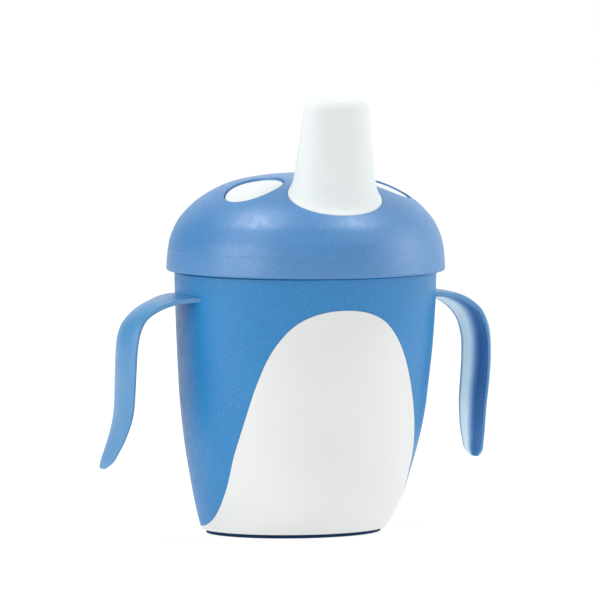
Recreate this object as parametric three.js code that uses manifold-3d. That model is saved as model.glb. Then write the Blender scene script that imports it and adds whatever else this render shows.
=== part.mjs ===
// A spill-proof training cup for a small child: a two-handled plastic
// cup with a screw lid, a hard drinking spout and a removable two-way valve.
//
// Millimetres, +Z up. The origin is on the screw axis of the lid, in the plane
// the cup stands on. The spout and the white bib are on the -Y side, and the
// handles stand out along +X and -X.
//
// The pieces:
//   cup_body       the blue vessel with its threaded neck
//   belly_panel    the white bib let into the front, with its base band
//   foot_ring      the dark soft ring that the cup stands on
//   handle_left, handle_right   channel-section grips on the sides
//   lid_shell      the blue domed screw cap
//   spout_insert   the white inner dome with the spout and two eye bosses
//   lid_gasket     the sealing ring between insert and neck
//   valve_holder   the removable carrier pushed on under the insert
//   flow_membrane, vent_membrane   the two umbrella valves in the carrier
import * as THREE from "three";
import { mergeVertices } from "three/addons/utils/BufferGeometryUtils.js";
import Module from "manifold-3d";

const wasm = await Module();
wasm.setup();

// ---------------------------------------------------------------- dimensions
const SEGMENTS = 36; // facets round the vessel and the lid

// Vessel. Each row: height, half width (X), Y of the widest point,
// distance of the front from the axis, distance of the back from the axis.
const BODY = [
  [0.9, 28.28, 11.1, 13.0, 32.4],
  [2.0, 28.69, 10.6, 14.6, 33.0],
  [3.5, 29.25, 10.26, 16.5, 33.5],
  [5.0, 29.77, 9.82, 18.3, 33.9],
  [7.5, 30.62, 8.69, 20.7, 34.4],
  [10, 31.43, 7.69, 22.8, 34.8],
  [13, 32.2, 6.91, 25.0, 35.2],
  [16, 32.86, 6.51, 26.8, 35.6],
  [19, 33.49, 6.14, 28.2, 35.9],
  [22, 34.18, 5.48, 29.3, 36.2],
  [26, 35.07, 4.52, 30.3, 36.55],
  [30, 35.86, 3.55, 31.0, 36.87],
  [35, 36.71, 2.62, 31.48, 37.22],
  [40, 37.38, 1.89, 31.74, 37.5],
  [45, 37.87, 1.41, 31.9, 37.72],
  [50, 38.31, 0.65, 31.97, 37.9],
  [55, 38.72, 0, 32.12, 38.06],
  [60, 39.03, -0.4, 32.5, 38.2],
  [65, 39.28, -0.6, 33.2, 38.32],
  [70, 39.42, -0.6, 34.4, 38.43],
  [75, 39.52, -0.3, 35.8, 38.55],
  [79, 39.5, 0, 37.2, 38.8],
];
const WALL = 2.4; // vessel wall
const VESSEL_BOTTOM = 2.3; // underside of the vessel, on top of the base band
const UNDERSIDE_RECESS = 3.4; // raised middle of the underside
const FLOOR_TOP = 5.8; // inside floor
const NECK_R = 37.4; // outside of the neck
const NECK_BORE_R = 35.3;
const SHOULDER_Z = 79.0;
const RIM_Z = 88.0; // top of the neck

// Screw thread: three starts, right-handed.
const THREAD_LEAD = 12; // rise per turn
const THREAD_STARTS = 3;
const THREAD_CREST_R = 38.8;
const THREAD_WIDTH = 1.6;
const THREAD_Z0 = 81.3; // centre of a ridge at its lower end
const THREAD_SPAN = 150; // degrees
const LUG_INNER_R = 37.85;
const LUG_SPAN = 60;
const LUG_DROP = 1.95; // a lug hangs this far under the ridge that holds it

// White bib: height against half angle round from the front.
const BIB = [
  [1.2, 112], [2.0, 108], [3.0, 86], [4, 79.5], [5, 75.8], [6, 73], [8, 69.2],
  [10, 66.4], [12.5, 63.7], [15, 61.4], [17.5, 59.6], [20, 58], [25, 55.3],
  [30, 51.4], [35, 47.9], [40, 44.6], [45, 41.5], [50, 38.1], [55, 34.3],
  [60, 29.4], [64, 24.1], [66, 20.5], [67.5, 16.6], [68.6, 12.3], [69.3, 8.3],
  [69.65, 4.8], [69.8, 0],
];
const BIB_THICK = 1.0;
const POCKET_DEPTH = 1.3;
const BIB_GAP = 0.3;
const BAND_Z = [0.9, 2.0]; // base band under the vessel
const BAND_WIDTH = 5.5;

const FOOT_INSET = 1.5; // foot ring stands in from the band
const FOOT_WIDTH = 5.0;
const FOOT_TOP = 0.88;

// Handles, for the +X side. Each row: outer crown X and Z, inner rim X and Z,
// half width, sweep toward the back, depth of the channel (0 = solid),
// thickness of the edge, roll of the section in degrees (front edge outward).
const HANDLE = [
  [36.6, 73.3, 36.4, 71.5, 11.8, 0.2, 0, 1.5, 0],
  [40.5, 73.15, 40.2, 71.3, 11.3, 0.5, 0, 1.45, 0],
  [43.4, 72.8, 42.9, 70.8, 10.9, 0.9, 0.4, 1.45, 1],
  [47.6, 71.8, 46.5, 69.5, 10.4, 1.4, 0.9, 1.4, 3],
  [51.5, 70.1, 49.7, 67.7, 10, 1.8, 1.5, 1.2, 4.5],
  [54.6, 67.8, 52.1, 65.6, 9.8, 2, 1.9, 1.0, 5.5],
  [56.9, 65.1, 53.5, 63.2, 9.6, 2.1, 2.1, 0.9, 5],
  [58.2, 62, 54.4, 60.5, 9.6, 2.1, 2.2, 0.8, 4.5],
  [58.8, 57.8, 55, 57, 9.6, 2.1, 2.2, 0.75, 4],
  [59, 53, 55.2, 52.6, 9.6, 2.3, 2.1, 0.7, 4],
  [58.9, 47.5, 55.25, 47.3, 9.6, 3, 2, 0.7, 4],
  [58.7, 42.5, 55.2, 42.3, 9.5, 3.9, 1.8, 0.7, 4],
  [58.65, 37.5, 55.3, 37.4, 9.2, 5.1, 1.7, 0.7, 4],
  [58.9, 33, 55.9, 32.9, 8.7, 6.8, 1.5, 0.7, 4],
  [59.4, 29, 56.7, 28.9, 8, 8.8, 1.2, 0.7, 4],
  [60, 25.2, 57.7, 25.1, 6.8, 11, 0.8, 0.7, 4],
  [60.4, 22.3, 58.6, 22.2, 5.1, 12.8, 0.3, 0.7, 4],
  [60.5, 20.9, 59.3, 20.8, 2.6, 13.8, 0, 0.6, 4],
];
const HANDLE_LIP = 1.5; // width of the channel's edges
const HANDLE_GAP = 0.3; // joint line at the wall

// Lid: outside profile from the rim to the crown, radius and height.
const LID_SKIRT = [
  [40.5, 79.7], [41.45, 79.82], [41.85, 80.35], [41.72, 82.6],
  [41.4, 86.1],
];
const DOME = [
  [40.65, 89.8], [39.95, 91.6], [38.6, 94.4], [36.6, 97], [33.6, 100],
  [29.4, 102.95], [24, 105.6], [17.8, 107.3], [9.5, 108.45], [0, 108.8],
];
const LID_WALL = 1.7;
const SKIRT_BORE_R = 39.9;
const SHELL_GAP = 0.3; // between the shell and the insert under it

// Insert: the white inner dome.
const INSERT_WALL = 1.3;
const FLANGE_R = 37.9;
const FLANGE_INNER_R = 33.2;
const FLANGE_Z = 90.3;
const EYE_X = 20.05;
const EYE_Y = -10.1;
const EYE_R = 9.0; // opening in the shell
const EYE_RECESS = 0.55;

// Spout: base outline on the dome, then height, half width, half depth, centre Y.
const SPOUT_BASE = { a: 14.4, b: 10.2, y: -25.3 };
const SPOUT = [
  [107, 12.72, 8.65, -24.65],
  [110.7, 12.24, 8.2, -24.9],
  [114.3, 11.82, 7.75, -25.1],
  [118, 11.38, 7.25, -25.45],
  [121.5, 10.95, 6.85, -25.8],
  [125, 10.6, 6.45, -26.2],
  [128.6, 10.25, 6.05, -26.5],
  [130.6, 9.75, 5.55, -26.75],
  [131.9, 8.5, 4.45, -26.95],
  [132.5, 6.4, 2.7, -27.05],
];
const SPOUT_TOP = 132.6;
// Bore of the spout and of the collar below it.
const SPOUT_BORE = [
  [85.9, 10.0, 6.0, -21.5],
  [99, 9.9, 5.9, -22.4],
  [107, 9.7, 5.6, -23.9],
  [118, 9.0, 4.9, -25.4],
  [130.2, 8.1, 3.9, -26.9],
];
const DRINK_HOLES = [-4.6, 0, 4.6]; // X of the holes in the tip
const DRINK_HOLE_R = 0.9;
const COLLAR = { a: 11.6, b: 7.6, y: -21.5 }; // outside of the collar
const COLLAR_BOTTOM = 86;
const VENT_Y = 9;
const VENT_TUBE_R = 4.5;
const VENT_TUBE_BORE = 3.2;
const VENT_HOLE_R = 0.9;

// Gasket.
const GASKET = { inner: 33.7, outer: 37.5, z0: 88.15, z1: 90.15 };

// Valve carrier.
const CUP_Z0 = 84.2;
const CUP_FLOOR = 1.5;
const CUP_TOP = 92;
const CUP_GAP = 0.3;
const CUP_WALL = 1.3;
const BRIDGE = { halfX: 5, y0: -13.2, y1: 4.2, z0: 84.2, z1: 86.4 };

// ------------------------------------------------------------------ materials
const plastic = (hex, roughness) =>
  new THREE.MeshStandardMaterial({ color: hex, roughness, metalness: 0 });
const BLUE = plastic(0x4c8ccb, 0.5);
const LID_BLUE = plastic(0x6f9ccf, 0.5);
const GRIP_BLUE = plastic(0x5f9ad2, 0.5);
const WHITE = plastic(0xe5e8e8, 0.45);
const SPOUT_WHITE = plastic(0xe2e8e8, 0.45);
const NAVY = plastic(0x10305c, 0.6);
const SILICONE = plastic(0xeef0ec, 0.4);
const CARRIER = plastic(0xdfe9f2, 0.45);

// -------------------------------------------------------------------- helpers
// Smooth, monotone interpolation through the rows of a table.
function table(rows, column) {
  const n = rows.length;
  const h = [], d = [], m = [];
  for (let i = 0; i < n - 1; i++) {
    h.push(rows[i + 1][0] - rows[i][0]);
    d.push((rows[i + 1][column] - rows[i][column]) / h[i]);
  }
  m[0] = d[0];
  m[n - 1] = d[n - 2];
  for (let i = 1; i < n - 1; i++) {
    if (d[i - 1] * d[i] <= 0) m[i] = 0;
    else {
      const w1 = 2 * h[i] + h[i - 1], w2 = h[i] + 2 * h[i - 1];
      m[i] = (w1 + w2) / (w1 / d[i - 1] + w2 / d[i]);
    }
  }
  return (x) => {
    if (x <= rows[0][0]) return rows[0][column];
    if (x >= rows[n - 1][0]) return rows[n - 1][column];
    let i = 0;
    while (x > rows[i + 1][0]) i++;
    const t = (x - rows[i][0]) / h[i];
    const a = rows[i][column], b = rows[i + 1][column];
    return (
      a * (1 + 2 * t) * (1 - t) * (1 - t) +
      h[i] * m[i] * t * (1 - t) * (1 - t) +
      b * t * t * (3 - 2 * t) +
      h[i] * m[i + 1] * t * t * (t - 1)
    );
  };
}

// A closed three.js geometry as a solid, faces outward.
function solid(geometry) {
  const g = geometry.clone();
  for (const key of Object.keys(g.attributes))
    if (key !== "position") g.deleteAttribute(key);
  const merged = mergeVertices(g, 1e-4);
  const ix = merged.index.array, keep = [];
  for (let i = 0; i < ix.length; i += 3)
    if (ix[i] !== ix[i + 1] && ix[i + 1] !== ix[i + 2] && ix[i] !== ix[i + 2])
      keep.push(ix[i], ix[i + 1], ix[i + 2]);
  const make = (tri) =>
    new wasm.Manifold(
      new wasm.Mesh({
        numProp: 3,
        vertProperties: new Float32Array(merged.attributes.position.array),
        triVerts: new Uint32Array(tri),
      }),
    );
  const first = make(keep);
  if (first.volume() > 0) return first;
  for (let i = 0; i < keep.length; i += 3)
    [keep[i + 1], keep[i + 2]] = [keep[i + 2], keep[i + 1]];
  return make(keep);
}

function geometryOf(manifold) {
  const m = manifold.getMesh();
  const v = new Float32Array(m.numVert * 3);
  for (let i = 0; i < m.numVert; i++)
    v.set(m.vertProperties.subarray(i * m.numProp, i * m.numProp + 3), i * 3);
  const g = new THREE.BufferGeometry();
  g.setAttribute("position", new THREE.BufferAttribute(v, 3));
  g.setIndex(new THREE.BufferAttribute(new Uint32Array(m.triVerts), 1));
  g.computeVertexNormals();
  return g;
}

function mesh(name, manifold, material) {
  const m = new THREE.Mesh(geometryOf(manifold), material);
  m.name = name;
  return m;
}

// A lathe whose rings are placed by map(angle, u, v): angle 0 is the front
// (-Y) and grows toward +X. Without a map the rings are plain circles.
function lathe(profile, segments = SEGMENTS, map = null) {
  const pts = profile.map(([u, v]) => new THREE.Vector2(u, v));
  const g = new THREE.LatheGeometry(pts, segments);
  const pos = g.attributes.position, n = pts.length;
  for (let i = 0; i <= segments; i++) {
    const angle = ((i % segments) / segments) * Math.PI * 2;
    for (let j = 0; j < n; j++) {
      const [u, v] = profile[j];
      const p = map
        ? map(angle, u, v)
        : [u * Math.sin(angle), -u * Math.cos(angle), v];
      pos.setXYZ(i * n + j, ...p);
    }
  }
  return solid(g);
}

// A lathe about a vertical line through (x, y).
const turned = (profile, x, y, segments = 20) =>
  lathe(profile, segments, (t, u, v) => [
    x + u * Math.sin(t), y - u * Math.cos(t), v,
  ]);

// A box with its three directions bent by map(x, y, z), each from 0 to 1.
function bent(nx, ny, nz, map) {
  const g = new THREE.BoxGeometry(1, 1, 1, nx, ny, nz);
  const pos = g.attributes.position;
  for (let i = 0; i < pos.count; i++)
    pos.setXYZ(
      i,
      ...map(pos.getX(i) + 0.5, pos.getY(i) + 0.5, pos.getZ(i) + 0.5),
    );
  return solid(g);
}

// An upright elliptical tube or rod, from rows of [z, a, b, y].
function ovalLoft(rows, segments = 28) {
  const profile = [[0, 0], ...rows.map((_, i) => [1, i]), [0, rows.length - 1]];
  return lathe(profile, segments, (t, u, v) => {
    const [z, a, b, y] = rows[v];
    return [u * a * Math.sin(t), y - u * b * Math.cos(t), z];
  });
}

const RAD = Math.PI / 180;

// --------------------------------------------------------------------- vessel
const halfWidth = table(BODY, 1);
const widestY = table(BODY, 2);
const frontY = table(BODY, 3);
const backY = table(BODY, 4);

// A point of the vessel's outer surface, moved in by inset.
function onBody(angle, z, inset = 0) {
  const c = Math.cos(angle), y0 = widestY(z);
  const depth = (c > 0 ? frontY(z) + y0 : backY(z) - y0) - inset;
  return [(halfWidth(z) - inset) * Math.sin(angle), y0 - depth * c, z];
}

// Profile codes for the vessel: kind, inset or radius, height.
function vesselMap(rows) {
  return (angle, u, v) => {
    const [kind, size, z] = rows[v];
    if (kind === "body") return onBody(angle, Math.min(z, 79), size).with(2, z);
    if (kind === "neck")
      return [size * Math.sin(angle), -size * Math.cos(angle), z];
    // "middle": a scaled copy of the base outline, down to its centre
    const p = onBody(angle, 2.3, 8);
    const cy = 9.6;
    return [p[0] * size, cy + (p[1] - cy) * size, z];
  };
}
const rowsLathe = (rows, segments = SEGMENTS) =>
  lathe(rows.map((_, i) => [1, i]), segments, vesselMap(rows));

const vesselRows = [
  ["middle", 0, UNDERSIDE_RECESS],
  ["middle", 1, UNDERSIDE_RECESS],
  ["body", 7.2, VESSEL_BOTTOM],
  ["body", 0, VESSEL_BOTTOM],
  ["body", 0, 4],
  ["body", 0, 7.5],
  ["body", 0, 12],
  ["body", 0, 18],
  ["body", 0, 26],
  ["body", 0, 37],
  ["body", 0, 50],
  ["body", 0, 62],
  ["body", 0, 71],
  ["body", 0, 77.6],
  ["body", 0.5, SHOULDER_Z],
  ["neck", NECK_R, SHOULDER_Z + 0.4],
  ["neck", NECK_R, RIM_Z - 0.4],
  ["neck", NECK_R - 0.4, RIM_Z],
  ["neck", NECK_BORE_R + 0.4, RIM_Z],
  ["neck", NECK_BORE_R, RIM_Z - 0.4],
  ["neck", NECK_BORE_R, SHOULDER_Z - 0.5],
  ["body", WALL + 0.2, 72],
  ["body", WALL, 58],
  ["body", WALL, 41],
  ["body", WALL, 26],
  ["body", WALL, 15],
  ["body", WALL + 1, 9],
  ["body", WALL + 3.2, 6.4],
  ["body", WALL + 6, FLOOR_TOP],
  ["middle", 0, FLOOR_TOP],
];
let vessel = rowsLathe(vesselRows);

const bibAngle = table(BIB, 1);
const bibHeights = [
  1.3, 1.95, 2.1, 3, 4.5, 7.5, 12, 18, 26, 36, 46, 54, 60, 64, 66.6, 68.2,
  69.2, 69.65, 69.8,
];
// The bib as a bent slab. margin widens it all round; the lowest rows sit
// back by rootInset so that they end inside the band.
function bibSlab(heights, inset0, inset1, margin, rootInset) {
  const top = heights.length - 1;
  return bent(16, top, 1, (x, y, t) => {
    const i = Math.round(y * top);
    let z = heights[i];
    const half = i === top ? 0 : bibAngle(z) * RAD + margin / 33;
    if (margin) z += margin * Math.max(0, Math.min(1, (z - 55) / 14));
    const outer = inset0 + (i < 2 ? rootInset : 0);
    return onBody((x * 2 - 1) * half, z, outer + (inset1 - outer) * t);
  });
}
const pocket = bibSlab(
  [0.95, 1.6, ...bibHeights.slice(2)], -1.2, POCKET_DEPTH, BIB_GAP, 0,
);
vessel = vessel.subtract(pocket);

// Thread ridges on the neck, and lugs in the lid, as bent bars with
// run-out ends.
function helixBar(start, span, zStart, rRoot, rTip, steps) {
  return bent(1, 1, steps, (r, h, s) => {
    const angle = (start + span * s) * RAD;
    const ends = Math.min(1, Math.min(s, 1 - s) * 8 + 0.25);
    const radius = rRoot + (rTip - rRoot) * r * ends;
    const slope = r * 0.25; // the crest is narrower than the root
    const z =
      zStart + (THREAD_LEAD * span * s) / 360 +
      (h - 0.5) * (THREAD_WIDTH - 2 * slope);
    return [radius * Math.sin(angle), -radius * Math.cos(angle), z];
  });
}
for (let k = 0; k < THREAD_STARTS; k++)
  vessel = vessel.add(
    helixBar(
      20 + (360 / THREAD_STARTS) * k, THREAD_SPAN, THREAD_Z0,
      NECK_R - 0.6, THREAD_CREST_R, 14,
    ),
  );

// ------------------------------------------------------- bib, band, foot ring
const bandRows = [
  ["body", 0, BAND_Z[0]],
  ["body", 0, BAND_Z[1]],
  ["body", BAND_WIDTH, BAND_Z[1]],
  ["body", BAND_WIDTH, BAND_Z[0]],
  ["body", 0, BAND_Z[0]],
];
const band = rowsLathe(bandRows);
const bib = bibSlab(bibHeights, 0, BIB_THICK, 0, 0.25).add(band);

// The foot ring keeps the outline of the band's underside.
const footOutline = (angle, inset) => onBody(angle, BAND_Z[0], inset);
const footProfile = [
  [FOOT_INSET, FOOT_TOP],
  [FOOT_INSET, 0.3],
  [FOOT_INSET + 0.3, 0],
  [FOOT_INSET + FOOT_WIDTH, 0],
  [FOOT_INSET + FOOT_WIDTH, FOOT_TOP],
  [FOOT_INSET, FOOT_TOP],
];
const foot = lathe(footProfile, SEGMENTS, (t, u, v) => footOutline(t, u).with(2, v));

// -------------------------------------------------------------------- handles
// The section runs round the grip: arched crown, front edge, arched channel,
// back edge. w is across the grip and t is outward.
function handleSection(half, depth, channel, edge) {
  const drop = depth - edge;
  const lip = Math.min(HANDLE_LIP, half * 0.35);
  const bore = half - lip;
  const crown = (k) => [half * k, -drop * Math.abs(k) ** 2.2];
  const hollow = (k) => [
    bore * k, -(depth - channel) - channel * Math.abs(k) ** 2.2,
  ];
  const fine = Math.min(0.35, edge * 0.4);
  return [
    crown(-1), crown(-0.8), crown(-0.5), crown(0), crown(0.5), crown(0.8),
    crown(1),
    [half - fine * 0.3, -depth + fine], [half - fine * 1.3, -depth],
    hollow(1), hollow(0.62), hollow(0), hollow(-0.62), hollow(-1),
    [-half + fine * 1.3, -depth], [-half + fine * 0.3, -depth + fine],
  ];
}
function handle() {
  const rows = HANDLE.map((r, i) => [i, ...r]);
  const col = [1, 2, 3, 4, 5, 6, 7, 8, 9].map((c) => table(rows, c));
  const top = HANDLE.length - 1, ringSize = 16;
  const g = new THREE.CylinderGeometry(1, 1, 1, ringSize, top, false);
  // Side vertices come first, ring by ring; then the two caps.
  const pos = g.attributes.position;
  const place = (station, k) => {
    const [ox, oz, ix, iz, half, sweep, channel, edge, roll] = col.map(
      (f) => f(station),
    );
    const depth = Math.hypot(ox - ix, oz - iz);
    const nx = (ox - ix) / depth, nz = (oz - iz) / depth;
    const s = Math.sin(roll * RAD), c = Math.cos(roll * RAD);
    const [w, t] =
      k < 0 // the middle of an end cap
        ? [0, -depth * 0.5]
        : handleSection(half, depth, channel, edge)[k % ringSize];
    return [ox + nx * (t - w * s), sweep + w * c, oz + nz * (t - w * s)];
  };
  let n = 0;
  for (let y = 0; y <= top; y++)
    for (let x = 0; x <= ringSize; x++) pos.setXYZ(n++, ...place(y, x));
  for (const end of [0, top]) {
    for (let x = 0; x < ringSize; x++) pos.setXYZ(n++, ...place(end, -1));
    for (let x = 0; x <= ringSize; x++) pos.setXYZ(n++, ...place(end, x));
  }
  return solid(g);
}
// The vessel swollen by the joint line, to trim the grips against.
const wallRows = [
  ["middle", 0, 3], ["body", -HANDLE_GAP, 3], ["body", -HANDLE_GAP, 30],
  ["body", -HANDLE_GAP, 56], ["body", -HANDLE_GAP, 65],
  ["body", -HANDLE_GAP, 72.5], ["body", -HANDLE_GAP, 79], ["neck", 0, 79],
];
const grip = handle().subtract(rowsLathe(wallRows));

// ------------------------------------------------------------------ lid shell
// A copy of the dome's profile, moved inward along its normals.
function domeInset(d) {
  const out = [];
  for (let i = 0; i < DOME.length; i++) {
    const a = DOME[Math.max(0, i - 1)], b = DOME[Math.min(DOME.length - 1, i + 1)];
    const tx = b[0] - a[0], tz = b[1] - a[1], l = Math.hypot(tx, tz);
    const r = i === DOME.length - 1 ? 0 : DOME[i][0] + (tz / l) * -d;
    out.push([r, DOME[i][1] + (tx / l) * d]);
  }
  return out;
}
const inner = domeInset(LID_WALL);
const shellProfile = [
  ...LID_SKIRT, ...DOME,
  ...inner.slice(1).reverse(),
  [SKIRT_BORE_R - 1.3, 91.2],
  [SKIRT_BORE_R, 90.0],
  [SKIRT_BORE_R, 80.1],
  LID_SKIRT[0],
];
let shell = lathe(shellProfile, SEGMENTS);

// Height of the dome's outer surface over a point.
const domeByRadius = table([...DOME].reverse().map(([r, z]) => [r, z]), 1);
const domeZ = (x, y) => domeByRadius(Math.hypot(x, y));

const eyeCutter = (x, r) => turned(
  [[0, 88], [r, 88], [r, 118], [0, 118]], x, EYE_Y, 24,
);
shell = shell
  .subtract(eyeCutter(EYE_X, EYE_R))
  .subtract(eyeCutter(-EYE_X, EYE_R))
  .subtract(
    ovalLoft(
      [93.2, 118].map((z) => [
        z, SPOUT_BASE.a + SHELL_GAP, SPOUT_BASE.b + SHELL_GAP, SPOUT_BASE.y,
      ]),
      28,
    ),
  )
  .subtract(turned(
    [[0, 100], [VENT_HOLE_R, 100], [VENT_HOLE_R, 112], [0, 112]], 0, VENT_Y, 12,
  ));
for (let k = 0; k < THREAD_STARTS; k++)
  shell = shell.add(
    helixBar(
      20 + (360 / THREAD_STARTS) * k + 90, LUG_SPAN,
      THREAD_Z0 - LUG_DROP + (THREAD_LEAD * 90) / 360,
      SKIRT_BORE_R + 0.5, LUG_INNER_R, 9,
    ),
  );

// --------------------------------------------------------------- spout insert
const domeTop = domeInset(LID_WALL + SHELL_GAP);
const domeUnder = domeInset(LID_WALL + SHELL_GAP + INSERT_WALL);
const insertProfile = [
  [FLANGE_INNER_R, FLANGE_Z],
  [FLANGE_R, FLANGE_Z],
  [FLANGE_R, FLANGE_Z + 0.6],
  ...domeTop.slice(2),
  ...domeUnder.slice(4).reverse(),
  [FLANGE_INNER_R, FLANGE_Z + 3.2],
  [FLANGE_INNER_R, FLANGE_Z],
];
let insert = lathe(insertProfile, SEGMENTS);

// Eye bosses: short round posts whose tops follow the dome.
function eyeBoss(x) {
  const r = EYE_R - SHELL_GAP;
  return lathe(
    [[0, 0], [r, 0], [r, 1], [r - 0.35, 2], [r * 0.5, 2], [0, 2]],
    24,
    (t, u, v) => {
      const px = x + u * Math.sin(t), py = EYE_Y - u * Math.cos(t);
      const z = domeZ(px, py);
      return [px, py, z - [2.9, EYE_RECESS + 0.3, EYE_RECESS][v]];
    },
  );
}
insert = insert.add(eyeBoss(EYE_X)).add(eyeBoss(-EYE_X));

// Spout: the base follows the dome, with a small flare, and the upper rows
// are level.
const spoutA = table(SPOUT, 1), spoutB = table(SPOUT, 2), spoutY = table(SPOUT, 3);
const flare = [[-2.6, 1], [-0.1, 1], [0.35, 0.82], [1.0, 0.52], [2.0, 0.26], [3.6, 0.08]];
const levels = SPOUT.slice(2).map((r) => r[0]);
function spoutOuter() {
  const count = flare.length + levels.length;
  const profile = [[0, 0]];
  for (let i = 0; i < count; i++) profile.push([1, i]);
  profile.push([0, count]);
  return lathe(profile, 28, (t, u, v) => {
    const s = Math.sin(t), c = Math.cos(t);
    const bx = SPOUT_BASE.a * s, by = SPOUT_BASE.y - SPOUT_BASE.b * c;
    if (v >= count) return [0, spoutY(SPOUT_TOP), SPOUT_TOP];
    if (u === 0) return [0, SPOUT_BASE.y, domeZ(0, SPOUT_BASE.y) - 2.6];
    if (v >= flare.length) {
      const z = levels[v - flare.length];
      return [spoutA(z) * s, spoutY(z) - spoutB(z) * c, z];
    }
    const [h, w] = flare[v];
    const z = domeZ(bx, by) + h;
    // straight taper carried down below the first level row
    const down = Math.max(0, 110.7 - z);
    const zz = Math.max(110.7, z);
    const a = spoutA(zz) + down * 0.128;
    const b = spoutB(zz) + down * 0.118;
    const y = spoutY(zz) + down * 0.03;
    const px = a * s, py = y - b * c;
    return [px + (bx - px) * w, py + (by - py) * w, z];
  });
}
insert = insert
  .add(spoutOuter())
  .add(ovalLoft([
    [COLLAR_BOTTOM, COLLAR.a, COLLAR.b, COLLAR.y],
    [101, COLLAR.a, COLLAR.b, COLLAR.y - 0.9],
  ]))
  .add(turned(
    [
      [0, COLLAR_BOTTOM], [VENT_TUBE_R, COLLAR_BOTTOM],
      [VENT_TUBE_R, 106], [0, 106],
    ], 0, VENT_Y,
  ));
insert = insert
  .subtract(ovalLoft(SPOUT_BORE.map((r, i) => (i ? r : [80, ...r.slice(1)]))))
  .subtract(turned(
    [[0, 80], [VENT_TUBE_BORE, 80], [VENT_TUBE_BORE, 104.4], [0, 104.4]],
    0, VENT_Y,
  ))
  .subtract(turned(
    [[0, 100], [VENT_HOLE_R, 100], [VENT_HOLE_R, 112], [0, 112]], 0, VENT_Y, 12,
  ));
for (const x of DRINK_HOLES)
  insert = insert.subtract(turned(
    [[0, 126], [DRINK_HOLE_R, 126], [DRINK_HOLE_R, 136], [0, 136]], x, -27, 12,
  ));

// --------------------------------------------------------------------- gasket
const gasket = lathe([
  [GASKET.inner, GASKET.z0], [GASKET.outer, GASKET.z0],
  [GASKET.outer, GASKET.z1], [GASKET.inner, GASKET.z1],
  [GASKET.inner, GASKET.z0],
], 36);

// --------------------------------------------------------------- valve carrier
const cupA = COLLAR.a + CUP_GAP, cupB = COLLAR.b + CUP_GAP;
const ventR = VENT_TUBE_R + CUP_GAP;
let carrier = ovalLoft([
  [CUP_Z0, cupA + CUP_WALL, cupB + CUP_WALL, COLLAR.y],
  [CUP_TOP, cupA + CUP_WALL, cupB + CUP_WALL, COLLAR.y],
])
  .add(turned([
    [0, CUP_Z0], [ventR + CUP_WALL, CUP_Z0], [ventR + CUP_WALL, CUP_TOP],
    [0, CUP_TOP],
  ], 0, VENT_Y))
  .add(bent(1, 1, 1, (x, y, z) => [
    BRIDGE.halfX * (2 * x - 1),
    BRIDGE.y0 + (BRIDGE.y1 - BRIDGE.y0) * y,
    BRIDGE.z0 + (BRIDGE.z1 - BRIDGE.z0) * z,
  ]))
  .subtract(ovalLoft([
    [CUP_Z0 + CUP_FLOOR, cupA, cupB, COLLAR.y], [100, cupA, cupB, COLLAR.y - 0.4],
  ]))
  .subtract(turned([
    [0, CUP_Z0 + CUP_FLOOR], [ventR, CUP_Z0 + CUP_FLOOR], [ventR, 100], [0, 100],
  ], 0, VENT_Y));
const hole = (x, y, r, n = 12) =>
  turned([[0, 80], [r, 80], [r, 86], [0, 86]], x, y, n);
carrier = carrier
  .subtract(hole(0, COLLAR.y, 1.8))
  .subtract(hole(0, VENT_Y, 1.3));
for (const [x, y] of [[3.9, 0], [-3.9, 0], [0, 3.7], [0, -3.7]])
  carrier = carrier.subtract(hole(x, COLLAR.y + y, 1.2));
for (let k = 0; k < 3; k++)
  carrier = carrier.subtract(hole(
    2.75 * Math.sin(k * 120 * RAD), VENT_Y + 2.75 * Math.cos(k * 120 * RAD), 0.7, 8,
  ));

// Umbrella valves: a thin disc, a stem through the carrier and a holding head.
const floorZ = CUP_Z0 + CUP_FLOOR;
const flow = turned([
  [0, CUP_Z0 - 1.4], [1.5, CUP_Z0 - 1.4], [2.4, CUP_Z0 - 0.7],
  [2.4, CUP_Z0 - 0.15], [1.5, CUP_Z0 - 0.15], [1.5, floorZ + 0.15],
  [5.5, floorZ + 0.15], [5.5, floorZ + 0.5], [2.2, floorZ + 1.1],
  [0, floorZ + 1.2],
], 0, COLLAR.y, 16);
const vent = turned([
  [0, CUP_Z0 - 1.1], [2.6, CUP_Z0 - 1.0], [4.6, CUP_Z0 - 0.5],
  [4.6, CUP_Z0 - 0.15], [1.0, CUP_Z0 - 0.15], [1.0, floorZ + 0.15],
  [1.7, floorZ + 0.15], [1.7, floorZ + 0.6], [1.1, floorZ + 1.3],
  [0, floorZ + 1.3],
], 0, VENT_Y, 16);

// ------------------------------------------------------------------- assembly
const cup = new THREE.Group();
cup.add(mesh("cup_body", vessel, BLUE));
cup.add(mesh("belly_panel", bib, WHITE));
cup.add(mesh("foot_ring", foot, NAVY));
const right = mesh("handle_right", grip, GRIP_BLUE);
const left = mesh("handle_left", grip, GRIP_BLUE);
left.scale.x = -1;
cup.add(right, left);

const lid = new THREE.Group();
lid.add(mesh("lid_shell", shell, LID_BLUE));
lid.add(mesh("spout_insert", insert, SPOUT_WHITE));
lid.add(mesh("lid_gasket", gasket, SILICONE));

const valve = new THREE.Group();
valve.add(mesh("valve_holder", carrier, CARRIER));
valve.add(mesh("flow_membrane", flow, SILICONE));
valve.add(mesh("vent_membrane", vent, SILICONE));

const whole = new THREE.Group();
whole.add(cup, lid, valve);
export default whole;
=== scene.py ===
import math

import bmesh
import bpy
import numpy as np
from mathutils import Matrix, Vector


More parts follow.
